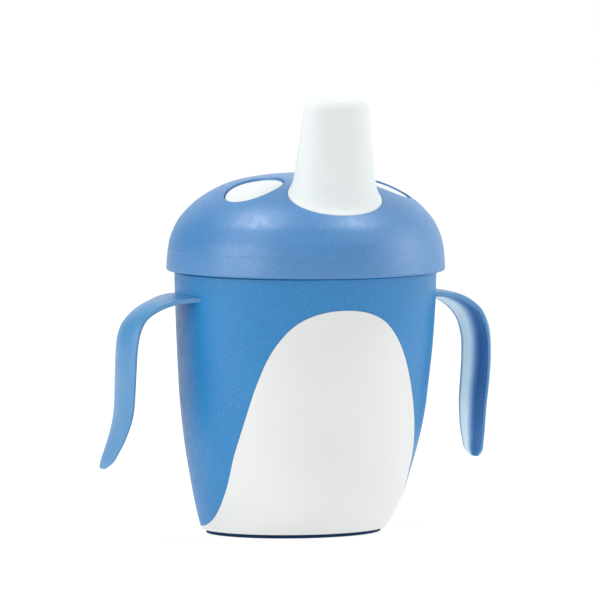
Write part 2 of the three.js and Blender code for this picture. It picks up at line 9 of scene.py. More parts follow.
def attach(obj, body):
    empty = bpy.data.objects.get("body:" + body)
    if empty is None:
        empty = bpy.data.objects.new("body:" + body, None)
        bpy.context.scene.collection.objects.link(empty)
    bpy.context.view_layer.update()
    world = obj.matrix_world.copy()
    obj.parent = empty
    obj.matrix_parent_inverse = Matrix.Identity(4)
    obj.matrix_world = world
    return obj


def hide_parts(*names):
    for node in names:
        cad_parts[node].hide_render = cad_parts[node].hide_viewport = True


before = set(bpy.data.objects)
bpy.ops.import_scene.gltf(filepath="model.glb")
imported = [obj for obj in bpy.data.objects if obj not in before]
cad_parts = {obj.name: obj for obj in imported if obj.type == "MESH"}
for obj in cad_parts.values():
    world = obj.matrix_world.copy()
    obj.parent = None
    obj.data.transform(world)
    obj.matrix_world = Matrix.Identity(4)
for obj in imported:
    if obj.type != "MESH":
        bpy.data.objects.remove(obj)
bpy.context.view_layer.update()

MM = 0.001
RAD = math.pi / 180


# ------------------------------------------------------------------- camera
ELEV, AZIM, DIST = 4.2 * RAD, 20.0 * RAD, 2.25
right = Vector((math.cos(AZIM), -math.sin(AZIM), 0))
back = Vector((-math.sin(AZIM) * math.cos(ELEV), -math.cos(AZIM) * math.cos(ELEV), math.sin(ELEV)))
up = back.cross(right)
aim = Vector((0, 0, 0.0706)) - right * (5.75 * 0.3 * MM)
cam_data = bpy.data.cameras.new("camera")
cam_data.sensor_width = 36
cam_data.lens = 450
cam_data.clip_end = 50
cam = bpy.data.objects.new("camera", cam_data)
bpy.context.scene.collection.objects.link(cam)
m3 = Matrix((right, up, back)).transposed()
cam.matrix_world = Matrix.Translation(aim + back * DIST) @ m3.to_4x4()
bpy.context.scene.camera = cam


# ------------------------------------------------------------------ helpers
def table(rows, column):
    """Smooth monotone interpolation through the rows of a table."""
    x = np.array([r[0] for r in rows], float)
    y = np.array([r[column] for r in rows], float)
    h, d = np.diff(x), np.diff(y) / np.diff(x)
    m = np.zeros(len(x))
    m[0], m[-1] = d[0], d[-1]
    for i in range(1, len(x) - 1):
        if d[i - 1] * d[i] > 0:
            w1, w2 = 2 * h[i] + h[i - 1], h[i] + 2 * h[i - 1]
            m[i] = (w1 + w2) / (w1 / d[i - 1] + w2 / d[i])

    def f(q):
        q = np.clip(np.asarray(q, float), x[0], x[-1])
        i = np.clip(np.searchsorted(x, q, side="right") - 1, 0, len(x) - 2)
        t = (q - x[i]) / h[i]
        return (y[i] * (1 + 2 * t) * (1 - t) ** 2 + h[i] * m[i] * t * (1 - t) ** 2
                + y[i + 1] * t * t * (3 - 2 * t) + h[i] * m[i + 1] * t * t * (t - 1))
    return f


def spline(x, y):
    """Natural cubic spline."""
    x, y = np.array(x, float), np.array(y, float)
    n, h = len(x), np.diff(np.array(x, float))
    a, b = np.eye(n), np.zeros(n)
    for i in range(1, n - 1):
        a[i, i - 1], a[i, i], a[i, i + 1] = h[i - 1], 2 * (h[i - 1] + h[i]), h[i]
        b[i] = 6 * ((y[i + 1] - y[i]) / h[i] - (y[i] - y[i - 1]) / h[i - 1])
    s = np.linalg.solve(a, b)

    def f(q):
        q = np.clip(np.asarray(q, float), x[0], x[-1])
        i = np.clip(np.searchsorted(x, q, side="right") - 1, 0, n - 2)
        u, v = (x[i + 1] - q) / h[i], (q - x[i]) / h[i]
        return u * y[i] + v * y[i + 1] + ((u ** 3 - u) * s[i] + (v ** 3 - v) * s[i + 1]) * h[i] ** 2 / 6
    return f


def smooth_curve(points, steps):
    """A spline through 2-D points, evenly stepped along its chord."""
    p = np.array(points, float)
    t = np.concatenate([[0], np.cumsum(np.hypot(*np.diff(p, axis=0).T))])
    q = np.linspace(0, t[-1], steps)
    return np.stack([spline(t, p[:, 0])(q), spline(t, p[:, 1])(q)], 1)


def new_object(name, verts, faces, slots=None):
    """verts in millimetres; slots gives each face's material slot."""
    me = bpy.data.meshes.new(name)
    me.from_pydata([tuple(v) for v in np.asarray(verts, float) * MM], [], faces)
    if slots is not None:
        me.polygons.foreach_set("material_index", slots)
    ob = bpy.data.objects.new(name, me)
    bpy.context.scene.collection.objects.link(ob)
    bm = bmesh.new()
    bm.from_mesh(me)
    bmesh.ops.remove_doubles(bm, verts=bm.verts, dist=2e-6)
    bmesh.ops.dissolve_degenerate(bm, edges=bm.edges, dist=1e-7)
    bmesh.ops.recalc_face_normals(bm, faces=bm.faces)
    if bm.calc_volume(signed=True) < 0:
        bmesh.ops.reverse_faces(bm, faces=bm.faces)
    bm.to_mesh(me)
    bm.free()
    return ob


def rings(name, grid, closed=False, second=None):
    """grid[row][column] of points; columns wrap round. Rows close too if closed.
    Columns in the range second use the second material."""
    g = np.asarray(grid, float)
    rows, cols = g.shape[:2]
    faces = []
    for j in range(rows if closed else rows - 1):
        k = (j + 1) % rows
        for i in range(cols):
            n = (i + 1) % cols
            faces.append((j * cols + i, j * cols + n, k * cols + n, k * cols + i))
    slots = None
    if second:
        slots = [int(second[0] <= i < second[1]) for _ in range(rows if closed else rows - 1) for i in range(cols)]
    return new_object(name, g.reshape(-1, 3), faces, slots)


def lathe(name, profile, x=0.0, y=0.0, segments=96, closed=False):
    t = np.arange(segments) / segments * 2 * math.pi
    return rings(name, [[(x + r * math.sin(a), y - r * math.cos(a), z) for a in t] for r, z in profile], closed)


def rounded(points, radius, steps=4, closed=False):
    """Round the corners of a profile; the ends stay unless it is closed."""
    p = [np.array(q, float) for q in points]
    out = []
    n = len(p)
    for i in range(n):
        if not closed and i in (0, n - 1):
            out.append(tuple(p[i]))
            continue
        a, b, c = p[(i - 1) % n], p[i], p[(i + 1) % n]
        u, v = a - b, c - b
        lu, lv = np.linalg.norm(u), np.linalg.norm(v)
        r = min(radius, lu * 0.45, lv * 0.45)
        s, e = b + u / lu * r, b + v / lv * r
        for k in range(steps + 1):
            q = k / steps
            out.append(tuple((1 - q) ** 2 * s + 2 * q * (1 - q) * b + q * q * e))
    return out


def boolean(ob, cutter, operation="DIFFERENCE"):
    mod = ob.modifiers.new("cut", "BOOLEAN")
    mod.operation, mod.object, mod.solver = operation, cutter, "EXACT"
    dg = bpy.context.evaluated_depsgraph_get()
    me = bpy.data.meshes.new_from_object(ob.evaluated_get(dg))
    ob.modifiers.clear()
    old = ob.data
    ob.data = me
    me.name = ob.name
    bpy.data.meshes.remove(old)
    bpy.data.objects.remove(cutter)


def join(ob, *others):
    """Put the meshes of others into ob."""
    bm = bmesh.new()
    bm.from_mesh(ob.data)
    for o in others:
        bm.from_mesh(o.data)
    bm.to_mesh(ob.data)
    bm.free()
    for o in others:
        bpy.data.objects.remove(o)


def finish(ob, angle=32):
    bm = bmesh.new()
    bm.from_mesh(ob.data)
    bmesh.ops.remove_doubles(bm, verts=bm.verts, dist=1e-6)
    for f in bm.faces:
        f.smooth = True
    for e in bm.edges:
        if len(e.link_faces) == 2:
            e.smooth = e.calc_face_angle(0) < angle * RAD
    bm.to_mesh(ob.data)
    bm.free()
    wn = ob.modifiers.new("normals", "WEIGHTED_NORMAL")
    wn.keep_sharp = True
    wn.weight = 60


def dress(ob, body, slot, material, *nodes, second=None):
    ob.data.materials.append(material)
    if second:
        ob.data.materials.append(second)
    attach(ob, body)
    if nodes:
        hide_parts(*nodes)


# ---------------------------------------------------------------- materials
class Nodes:
    def __init__(self, name):
        self.mat = bpy.data.materials.new(name)
        self.mat.use_nodes = True
        self.t = self.mat.node_tree
        self.bsdf = self.t.nodes["Principled BSDF"]
        self.co = self.t.nodes.new("ShaderNodeTexCoord").outputs["Object"]

    def noise(self, scale, detail=3.0, rough=0.55):
        n = self.t.nodes.new("ShaderNodeTexNoise")
        n.inputs["Scale"].default_value = scale
        n.inputs["Detail"].default_value = detail
        n.inputs["Roughness"].default_value = rough
        self.t.links.new(self.co, n.inputs["Vector"])
        return n.outputs["Fac"]

    def cells(self, scale):
        n = self.t.nodes.new("ShaderNodeTexVoronoi")
        n.inputs["Scale"].default_value = scale
        self.t.links.new(self.co, n.inputs["Vector"])
        return n.outputs["Distance"]

    def ramp(self, fac, stops):
        n = self.t.nodes.new("ShaderNodeValToRGB")
        e = n.color_ramp.elements
        while len(e) < len(stops):
            e.new(0.5)
        for k, (pos, col) in enumerate(stops):
            e[k].position = pos
            e[k].color = (*col, 1) if len(col) == 3 else col
        self.t.links.new(fac, n.inputs["Fac"])
        return n.outputs["Color"]

    def remap(self, fac, a, b, lo, hi):
        n = self.t.nodes.new("ShaderNodeMapRange")
        for key, val in (("From Min", a), ("From Max", b), ("To Min", lo), ("To Max", hi)):
            n.inputs[key].default_value = val
        self.t.links.new(fac, n.inputs["Value"])
        return n.outputs["Result"]

    def mix(self, fac, a, b):
        n = self.t.nodes.new("ShaderNodeMix")
        n.data_type = "RGBA"
        self.t.links.new(fac, n.inputs["Factor"])
        for sock, val in ((n.inputs["A"], a), (n.inputs["B"], b)):
            if isinstance(val, tuple):
                sock.default_value = (*val, 1)
            else:
                self.t.links.new(val, sock)
        return n.outputs["Result"]

    def add(self, a, b, scale):
        n = self.t.nodes.new("ShaderNodeMath")
        n.operation = "MULTIPLY_ADD"
        self.t.links.new(b, n.inputs[0])
        n.inputs[1].default_value = scale
        self.t.links.new(a, n.inputs[2])
        return n.outputs[0]

    def bump(self, height, strength, distance):
        n = self.t.nodes.new("ShaderNodeBump")
        n.inputs["Strength"].default_value = strength
        n.inputs["Distance"].default_value = distance
        self.t.links.new(height, n.inputs["Height"])
        self.t.links.new(n.outputs["Normal"], self.bsdf.inputs["Normal"])

    def set(self, **values):
        for key, val in values.items():
            sock = self.bsdf.inputs[key.replace("_", " ")]
            if isinstance(val, (int, float, tuple)):
                sock.default_value = (*val, 1) if isinstance(val, tuple) and len(val) == 3 and sock.type == "RGBA" else val
            else:
                self.t.links.new(val, sock)


def moulded(name, base, dark, light, rough, grain=1.0, specks=0.35, level=0.6, painted_backlight=None, grit=0.36):
    """Satin moulded plastic: cloudy pigment, grain of the tool's surface,
    fine bright specks and a broken-up gloss."""
    n = Nodes(name)
    clouds = n.noise(38, 3)
    fine = n.noise(1700, 2, 0.65)
    col = n.ramp(clouds, [(0.3, dark), (0.52, base), (0.75, light)])
    pale = tuple(min(0.97, c * (1 + 0.05 * grit) + 0.05 * grit) for c in light)
    deep = tuple(c * (1 - 0.16 * grit) for c in dark)
    grainy = n.mix(n.remap(fine, 0.34, 0.5, 0.6, 0.0), col, deep)
    grainy = n.mix(n.remap(fine, 0.5, 0.68, 0.0, 0.6), grainy, pale)
    dust = n.cells(640)
    seen = n.remap(dust, 0.02, 0.11, specks, 0.0)
    if painted_backlight:  # painted light: a pale tint across the back half of the grip's channel stands in for light shining through the wall; the subsurface set further down is real
        a = n.t.nodes.new("ShaderNodeAttribute")
        a.attribute_name = "across"
        wobble = n.add(a.outputs["Fac"], n.noise(55, 2), 0.10)
        # mask of the painted backlight, pale on the channel's back half
        painted_backlight_mask = n.ramp(wobble, [(0.10, (0.0, 0.0, 0.0)), (0.32, (0.16, 0.16, 0.16)), (0.52, (0.62, 0.62, 0.62)), (0.68, (1.0, 1.0, 1.0)), (0.86, (1.0, 1.0, 1.0)), (0.95, (0.2, 0.2, 0.2))])
        grainy = n.mix(painted_backlight_mask, grainy, painted_backlight)
    n.set(Base_Color=n.mix(seen, grainy, (0.62, 0.72, 0.82)))
    r = n.remap(n.noise(420, 2), 0.3, 0.7, rough - 0.05, rough + 0.06)
    n.set(Roughness=r)
    h = n.add(n.noise(2300, 2, 0.5), n.noise(620, 2, 0.5), 0.8)
    n.bump(h, 0.5 * grain, 0.00007)
    n.set(Specular_IOR_Level=level)
    n.bsdf.inputs["IOR"].default_value = 1.49
    if painted_backlight:
        n.set(Subsurface_Weight=0.85, Subsurface_Scale=0.0022)
        n.bsdf.inputs["Subsurface Radius"].default_value = (0.8, 1.0, 1.1)
    return n.mat


BLUE = moulded("cup_blue", (0.004, 0.184, 0.450), (0.002, 0.172, 0.430), (0.008, 0.196, 0.470), 0.43, level=0.6)
LID_BLUE = moulded("lid_blue", (0.036, 0.185, 0.430), (0.032, 0.173, 0.41), (0.042, 0.197, 0.45), 0.42, level=1.0)
# Painted sheen and shade: the grip's blue is a lighter copy of the cup's blue and the channel's inside a darker one,
# standing in for how light falls on the same plastic.
GRIP_BLUE = moulded("grip_blue", (0.046, 0.222, 0.455), (0.040, 0.209, 0.435), (0.054, 0.235, 0.475), 0.40, level=0.95)
GRIP_INNER = moulded("grip_blue_inside", (0.0, 0.165, 0.43), (0.0, 0.15, 0.405), (0.002, 0.185, 0.46), 0.5, 0.3, 0.0,
                     level=0.15, painted_backlight=(0.84, 0.97, 1.0))
BIB = moulded("bib_white", (0.70, 0.715, 0.705), (0.69, 0.705, 0.695), (0.712, 0.725, 0.715), 0.5, 0.6, 0.0, 0.3, grit=0.03)
SPOUT = moulded("spout_white", (0.67, 0.71, 0.71), (0.66, 0.70, 0.70), (0.682, 0.72, 0.72), 0.5, 0.5, 0.0, 0.3, grit=0.03)
CARRIER = moulded("carrier_white", (0.66, 0.72, 0.76), (0.65, 0.71, 0.75), (0.672, 0.73, 0.77), 0.45, 0.5, 0.0, 0.4, grit=0.03)


def elastomer(name, base, light, rough, transmission=0.0, level=0.45):
    n = Nodes(name)
    fine = n.noise(1800, 2, 0.6)
    col = n.ramp(n.noise(60, 3), [(0.3, base), (0.7, light)])
    n.set(Base_Color=n.mix(n.remap(fine, 0.4, 0.75, 0.0, 0.25), col, light))
    n.set(Roughness=n.remap(n.noise(500, 2), 0.3, 0.7, rough - 0.06, rough + 0.06))
    n.bump(n.noise(2600, 2), 0.4, 0.00006)
    n.set(Specular_IOR_Level=level)
    if transmission:
        n.set(Transmission_Weight=transmission)
        n.bsdf.inputs["IOR"].default_value = 1.41
    return n.mat


# Painted shade: the foot ring's very dark navy stands in for the shade under the cup's bottom edge.
NAVY_PAINTED_SHADE = elastomer("foot_navy", (0.001, 0.014, 0.060), (0.003, 0.030, 0.095), 0.7, level=0.15)
SILICONE = elastomer("silicone_clear", (0.80, 0.82, 0.80), (0.86, 0.88, 0.86), 0.38, 0.25)

# ------------------------------------------------------------------- vessel
BODY = [
    [0.9, 28.28, 11.1, 13.0, 32.4], [2.0, 28.69, 10.6, 14.6, 33.0],
    [3.5, 29.25, 10.26, 16.5, 33.5], [5.0, 29.77, 9.82, 18.3, 33.9],
    [7.5, 30.62, 8.69, 20.7, 34.4], [10, 31.43, 7.69, 22.8, 34.8],
    [13, 32.2, 6.91, 25.0, 35.2], [16, 32.86, 6.51, 26.8, 35.6],
    [19, 33.49, 6.14, 28.2, 35.9], [22, 34.18, 5.48, 29.3, 36.2],
    [26, 35.07, 4.52, 30.3, 36.55], [30, 35.86, 3.55, 31.0, 36.87],
    [35, 36.71, 2.62, 31.48, 37.22], [40, 37.38, 1.89, 31.74, 37.5],
    [45, 37.87, 1.41, 31.9, 37.72], [50, 38.31, 0.65, 31.97, 37.9],
    [55, 38.72, 0, 32.12, 38.06], [60, 39.03, -0.4, 32.5, 38.2],
    [65, 39.28, -0.6, 33.2, 38.32], [70, 39.42, -0.6, 34.4, 38.43],
    [75, 39.52, -0.3, 35.8, 38.55], [79, 39.5, 0, 37.2, 38.8],
]
# A light smoothing of the tables keeps the reflections even.
zs = np.linspace(0.9, 79, 240)


def smoothed(column, width=9):
    v = table(BODY, column)(zs)
    k = np.hanning(width * 2 + 1)
    k /= k.sum()
    pad = np.concatenate([2 * v[0] - v[width:0:-1], v, 2 * v[-1] - v[-2:-width - 2:-1]])
    s = np.convolve(pad, k, "valid")
    return lambda z: np.interp(z, zs, s)


half_w, widest, front_y, back_y = (smoothed(c) for c in (1, 2, 3, 4))


def on_body(angle, z, inset=0.0):
    c = np.cos(angle)
    y0 = widest(z)
    depth = np.where(c > 0, front_y(z) + y0, back_y(z) - y0) - inset
    return np.stack(np.broadcast_arrays((half_w(z) - inset) * np.sin(angle), y0 - depth * c, z), -1)


BIB_EDGE = [
    [0, 69.8], [4.8, 69.65], [8.3, 69.3], [12.3, 68.6], [16.6, 67.5], [20.5, 66], [24.1, 64],
    [29.4, 60], [34.3, 55], [38.1, 50], [41.5, 45], [44.6, 40], [47.9, 35], [51.4, 30],
    [55.0, 25], [58, 20], [59.6, 17.5], [61.4, 15], [63.7, 12.5], [66.4, 10], [69.2, 8],
    [73, 6], [75.8, 5], [79.5, 4], [86, 3], [97, 2.3], [108, 2.0], [180, 2.0],
]
COLS = 320
psi = (np.arange(COLS) / COLS * 360 + 180) % 360 - 180  # degrees from the front
deg = np.linspace(0, 180, 721)
edge_fine = table(BIB_EDGE, 1)(deg)
kern = np.hanning(13)
kern /= kern.sum()
edge_pad = np.concatenate([edge_fine[6:0:-1], edge_fine, edge_fine[-2:-8:-1]])
edge_fine = np.convolve(edge_pad, kern, "valid")


def bib_top(p, widen=0.0):
    """Height of the bib's edge at an angle; widen moves the edge outward, in mm."""
    a = np.abs(p)
    best = np.interp(a, deg, edge_fine)
    if widen:
        for k in np.linspace(-1, 1, 9):  # largest of the circle's shifted copies
            d = widen * k / 33 / RAD
            best = np.maximum(best, np.interp(np.abs(a - d), deg, edge_fine) + widen * math.sqrt(max(0, 1 - k * k)))
    return best


ang = psi * RAD
top_bib = bib_top(psi)
slope = np.gradient(np.interp(np.abs(psi), deg, edge_fine))
order = np.argsort(psi)
arc = 33 * np.gradient(psi[order]) * RAD
sl = np.empty(COLS)
sl[order] = np.gradient(top_bib[order]) / arc
cos_edge = 1 / np.sqrt(1 + sl ** 2)


def body_rows(z, inset):
    z = np.broadcast_to(np.asarray(z, float), (COLS,))
    return on_body(ang, z, inset)


def base_copy(scale, z):
    """A scaled copy of the base outline round its middle."""
    p = on_body(ang, np.full(COLS, 2.3), 8.0)
    return np.stack([p[:, 0] * scale, 9.6 + (p[:, 1] - 9.6) * scale, np.full(COLS, z)], -1)


def circle(r, z):
    return np.stack([r * np.sin(ang), -r * np.cos(ang), np.full(COLS, z)], -1)


VESSEL_BOTTOM, POCKET, EDGE_GAP = 2.12, 1.3, 0.04
pocket_z = np.maximum(bib_top(psi, EDGE_GAP), VESSEL_BOTTOM + 0.02)
rows = [base_copy(0, 3.4), base_copy(0.5, 3.4), base_copy(0.96, 3.4), base_copy(1, 3.3),
        body_rows(VESSEL_BOTTOM + 0.1, 7.4), body_rows(VESSEL_BOTTOM, 7.2), body_rows(VESSEL_BOTTOM, POCKET + 0.02)]
for f in np.linspace(0.05, 1, 24):
    rows.append(body_rows(VESSEL_BOTTOM + (pocket_z - VESSEL_BOTTOM) * f, POCKET))
rows.append(body_rows(pocket_z, 0.6))
RE = 0.08  # rounding of the pocket's edge
for t in np.linspace(0, math.pi / 2, 5):
    rows.append(body_rows(pocket_z + RE / cos_edge * (1 - math.cos(t)), RE * (1 - math.sin(t))))
top_body = 79.05
for f in np.linspace(0, 1, 72)[1:]:
    start = pocket_z + RE / cos_edge
    rows.append(body_rows(start + (top_body - start) * f, 0))
for t in np.linspace(0, math.pi / 2, 6)[1:]:
    rows.append(body_rows(top_body + 0.4 * math.sin(t), 0.4 * (1 - math.cos(t))))
rows.append(circle(38.2, 79.48))
for r, z in rounded([(38.0, 79.5), (37.4, 79.7), (37.4, 88.0), (35.3, 88.0), (35.3, 79.5)], 0.4, 4)[1:]:
    rows.append(circle(r, z))
blend_from, blend_to = 79.0, 72.0
for f in np.linspace(0, 1, 9)[1:]:
    z = blend_from + (blend_to - blend_from) * f
    w = f * f * (3 - 2 * f)
    rows.append(circle(35.3, z) * (1 - w) + body_rows(z, 2.5) * w)
for z in np.linspace(71, 13, 42):
    rows.append(body_rows(z, 2.4))
for t in np.linspace(0, math.pi / 2, 9):
    rows.append(body_rows(12.2 - 6.3 * math.sin(t), 2.45 + 5.6 * (1 - math.cos(t))))
rows += [base_copy(0.9, 5.8), base_copy(0.5, 5.8), base_copy(0, 5.8)]
vessel = rings("cup_vessel", rows)


def helix_bar(name, start, span, z0, root, tip, width, lead=12.0, steps=60):
    """A thread bar: a rounded section swept along a helix with run-out ends."""
    sec = [(0, -0.5), (0.45, -0.46), (0.85, -0.33), (1, -0.18), (1, 0.18), (0.85, 0.33), (0.45, 0.46), (0, 0.5)]
    pts = []
    for s in np.linspace(0, 1, steps):
        a = (start + span * s) * RAD
        e = math.sin(min(1, min(s, 1 - s) * 9) * math.pi / 2)
        ring = []
        for r, h in sec:
            rad = root + (tip - root) * (r * (0.12 + 0.88 * e))
            ring.append((rad * math.sin(a), -rad * math.cos(a), z0 + lead * span * s / 360 + h * width * (0.55 + 0.45 * e)))
        pts.append(ring)
    n, flat = len(sec), [p for r in pts for p in r]
    faces = []
    for j in range(steps - 1):
        for i in range(n):
            k = (i + 1) % n
            faces.append((j * n + i, j * n + k, (j + 1) * n + k, (j + 1) * n + i))
    faces += [tuple(range(n)), tuple(reversed(range((steps - 1) * n, steps * n)))]
    return new_object(name, flat, faces)


for k in range(3):
    join(vessel, helix_bar("ridge", 20 + 120 * k, 150, 81.3, 37.1, 38.8, 1.6))
finish(vessel, 35)
dress(vessel, "cup", "cup_blue", BLUE, "cup_body")

# ------------------------------------------------------- bib with base band
rows = []
RB, BOT = 0.13, 1.22
for t in np.linspace(0, math.pi / 2, 4):
    rows.append(body_rows(BOT + 0.18 * (1 - math.sin(t)), 0.18 * (1 - math.cos(t))))
rows = rows[::-1]
lo = BOT + 0.18
hi = top_bib - RB / cos_edge
for f in np.linspace(0, 1, 70)[1:]:
    rows.append(body_rows(lo + (hi - lo) * f, 0))
for t in np.linspace(0, math.pi / 2, 6)[1:]:
    rows.append(body_rows(hi + RB / cos_edge * math.sin(t), RB * (1 - math.cos(t))))
for f in np.linspace(0, 1, 22):
    rows.append(body_rows(top_bib + (2.0 - top_bib) * f, 1.0))
rows.append(body_rows(2.0, 5.5))
rows.append(body_rows(BOT, 5.5))
bib = rings("bib_and_band", rows, closed=True)
finish(bib, 40)
dress(bib, "cup", "bib_white", BIB, "belly_panel")

# ---------------------------------------------------------------- foot ring
prof = rounded([(1.35, 1.2), (1.35, 0.0), (6.5, 0.0), (6.5, 1.2)], 0.28, 4, closed=True)
rows = [np.concatenate([on_body(ang, np.full(COLS, 0.9), d)[:, :2], np.full((COLS, 1), z)], 1) for d, z in prof]
foot = rings("foot_ring_soft", rows, closed=True)
finish(foot, 40)
# the ring's dark navy is painted shade
dress(foot, "cup", "foot_navy", NAVY_PAINTED_SHADE, "foot_ring")

# -------------------------------------------------------------------- grips
HANDLE = [
    [36.6, 73.3, 36.4, 71.5, 11.8, 0.2, 0, 1.5, 0], [40.5, 73.15, 40.2, 71.3, 11.3, 0.5, 0, 1.45, 0],
    [43.4, 72.8, 42.9, 70.8, 10.9, 0.9, 0.4, 1.45, 1], [47.6, 71.8, 46.5, 69.5, 10.4, 1.4, 0.9, 1.4, 3],
    [51.5, 70.1, 49.7, 67.7, 10, 1.8, 1.5, 1.2, 4.5], [54.6, 67.8, 52.1, 65.6, 9.8, 2, 1.9, 1.0, 5.5],
    [56.9, 65.1, 53.5, 63.2, 9.6, 2.1, 2.1, 0.9, 5], [58.2, 62, 54.4, 60.5, 9.6, 2.1, 2.2, 0.8, 4.5],
    [58.8, 57.8, 55, 57, 9.6, 2.1, 2.2, 0.75, 4], [59, 53, 55.2, 52.6, 9.6, 2.3, 2.1, 0.7, 4],
    [58.9, 47.5, 55.25, 47.3, 9.6, 3, 2, 0.7, 4], [58.7, 42.5, 55.2, 42.3, 9.5, 3.9, 1.8, 0.7, 4],
    [58.65, 37.5, 55.3, 37.4, 9.2, 5.1, 1.7, 0.7, 4], [58.9, 33, 55.9, 32.9, 8.7, 6.8, 1.5, 0.7, 4],
    [59.4, 29, 56.7, 28.9, 8.1, 8.8, 1.2, 0.7, 4], [60, 25.2, 57.7, 25.1, 7.0, 10.9, 0.8, 0.7, 4],
    [60.4, 22.3, 58.6, 22.2, 5.4, 12.7, 0.3, 0.7, 4], [60.5, 20.9, 59.3, 20.8, 3.1, 13.7, 0, 0.6, 4],
]
H = np.array(HANDLE, float)
# distance along the middle of the grip, for even steps
mid = np.stack([(H[:, 0] + H[:, 2]) / 2, H[:, 5], (H[:, 1] + H[:, 3]) / 2], 1)
S = np.concatenate([[0], np.cumsum(np.linalg.norm(np.diff(mid, axis=0), axis=1))])
HF = [spline(S, H[:, c]) for c in range(9)]


def grip_section(half, depth, channel, edge):
    drop = depth - edge
    lip = min(1.5, half * 0.35)
    bore = half - lip
    out = []
    for k in np.linspace(-1, 1, 29):
        out.append((half * k, -drop * abs(k) ** 2.2))
    soft = min(0.55, edge * 0.6)
    for q in np.linspace(0, 1, 6)[1:]:  # outer corner of the edge
        a, b, c = (half, -drop), (half, -depth), (half - soft, -depth)
        out.append(tuple((1 - q) ** 2 * np.array(a) + 2 * q * (1 - q) * np.array(b) + q * q * np.array(c)))
    for k in np.linspace(1, -1, 27):
        out.append((bore * k, -(depth - channel) - channel * abs(k) ** 3.6))
    for q in np.linspace(0, 1, 6)[:-1]:
        a, b, c = (-half + soft, -depth), (-half, -depth), (-half, -drop)
        out.append(tuple((1 - q) ** 2 * np.array(a) + 2 * q * (1 - q) * np.array(b) + q * q * np.array(c)))
    return np.array(out)


def grip(name, side):
    grid = []
    L = S[-1]
    stops = np.concatenate([np.linspace(0, L - 3, 120), L - 3 + 3 * np.sin(np.linspace(0, math.pi / 2, 10))[1:]])
    for s in stops:
        ox, oz, ix, iz, half, sweep, channel, edge, roll = (float(f(s)) for f in HF)
        depth = math.hypot(ox - ix, oz - iz)
        nx, nz = (ox - ix) / depth, (oz - iz) / depth
        sec = grip_section(half, depth, max(0.0, min(channel, depth - 0.8)), min(edge, depth * 0.8))
        sn, cs = math.sin(roll * RAD), math.cos(roll * RAD)
        grid.append([(side * (ox + nx * (t - w * sn)), sweep + w * cs, oz + nz * (t - w * sn)) for w, t in sec])
    # rounded end: shrink the last ring to its middle over a short distance
    last = np.array(grid[-1])
    c = last.mean(0)
    step = np.array(grid[-1]).mean(0) - np.array(grid[-3]).mean(0)
    step = step / np.linalg.norm(step)
    for t in np.linspace(0, math.pi / 2, 7)[1:]:
        grid.append(list(c + (last - c) * math.cos(t) + step * 0.5 * math.sin(t)))
    first = np.array(grid[0])
    grid.insert(0, list(first * 0 + first.mean(0)))
    return rings(name, grid, second=(33, 62))


for side, tag in ((1, "right"), (-1, "left")):
    g = grip("grip_" + tag, side)
    # trim the root inside the vessel's wall
    z = np.linspace(60, 79, 16)
    core = [[(0, 0, 60)] * COLS] + [on_body(ang, np.full(COLS, q), 0.9) for q in z] + [[(0, 0, 79)] * COLS]
    boolean(g, rings("core", core))
    # how far each point is from the grip's middle line, which places the painted backlight tint on the channel's back
    # half
    ss = np.linspace(0, S[-1], 400)
    mx, mz = (HF[0](ss) + HF[2](ss)) / 2 * side, (HF[1](ss) + HF[3](ss)) / 2
    co = np.array([v.co for v in g.data.vertices]) / MM
    near = np.argmin((co[:, :1] - mx) ** 2 + (co[:, 2:] - mz) ** 2, 1)
    k = (co[:, 1] - HF[5](ss)[near]) / HF[4](ss)[near]
    attr = g.data.attributes.new("across", "FLOAT", "POINT")
    attr.data.foreach_set("value", np.clip(k, -1.2, 1.2).astype(np.float32))
    finish(g, 42)
    dress(g, "cup", "grip_blue", GRIP_BLUE, "handle_" + tag, second=GRIP_INNER)

# ---------------------------------------------------------------- lid shell
DOME = [
    [40.65, 89.8], [39.95, 91.6], [38.6, 94.4], [36.6, 97], [33.6, 100],
    [29.4, 102.95], [24, 105.6], [17.8, 107.3], [9.5, 108.45], [0, 108.8],
]
mirror = [[-r, z] for r, z in DOME[-2::-1]]
whole = smooth_curve([[41.4, 86.1]] + DOME + mirror + [[-41.4, 86.1]], 241)
outer_dome = whole[:121]
outer_dome[-1, 0] = 0.0
dome_r, dome_h = outer_dome[::-1, 0], outer_dome[::-1, 1]


def dome_z(x, y):
    return np.interp(np.hypot(x, y), dome_r, dome_h)


def dome_inset(d, lo_z):
    t = np.gradient(outer_dome, axis=0)
    n = np.stack([t[:, 1], -t[:, 0]], 1)
    n /= np.linalg.norm(n, axis=1)[:, None]
    p = outer_dome - n * d
    p[-1, 0] = 0.0
    p = p[p[:, 1] >= lo_z]
    return p[np.concatenate([[True], np.diff(p[:, 0]) < 0])]


skirt = rounded([(40.2, 79.7), (41.85, 79.72), (41.74, 82.6)], 0.75, 6)
line = [(41.43, 85.85), (41.42, 85.98), (41.455, 86.06), (41.455, 86.14), (41.40, 86.22)]
shell_in = dome_inset(1.7, 91.4)
profile = ([(39.9, 80.3), (39.95, 79.95), (40.2, 79.7)] + skirt[1:] + [(41.66, 83.6), (41.55, 84.8)] + line
           + [tuple(p) for p in outer_dome if p[1] > 86.6]
           + [tuple(p) for p in shell_in[::-3]] + [tuple(shell_in[0]), (38.6, 91.2), (39.9, 90.0)])


def closed_lathe(name, prof, segments):
    """A profile that touches the axis once on the outside and once on the inside."""
    t = np.arange(segments) / segments * 2 * math.pi
    g = [[(r * math.sin(a), -r * math.cos(a), z) for a in t] for r, z in prof]
    return rings(name, g, closed=True)


shell = closed_lathe("lid_dome", profile, 288)


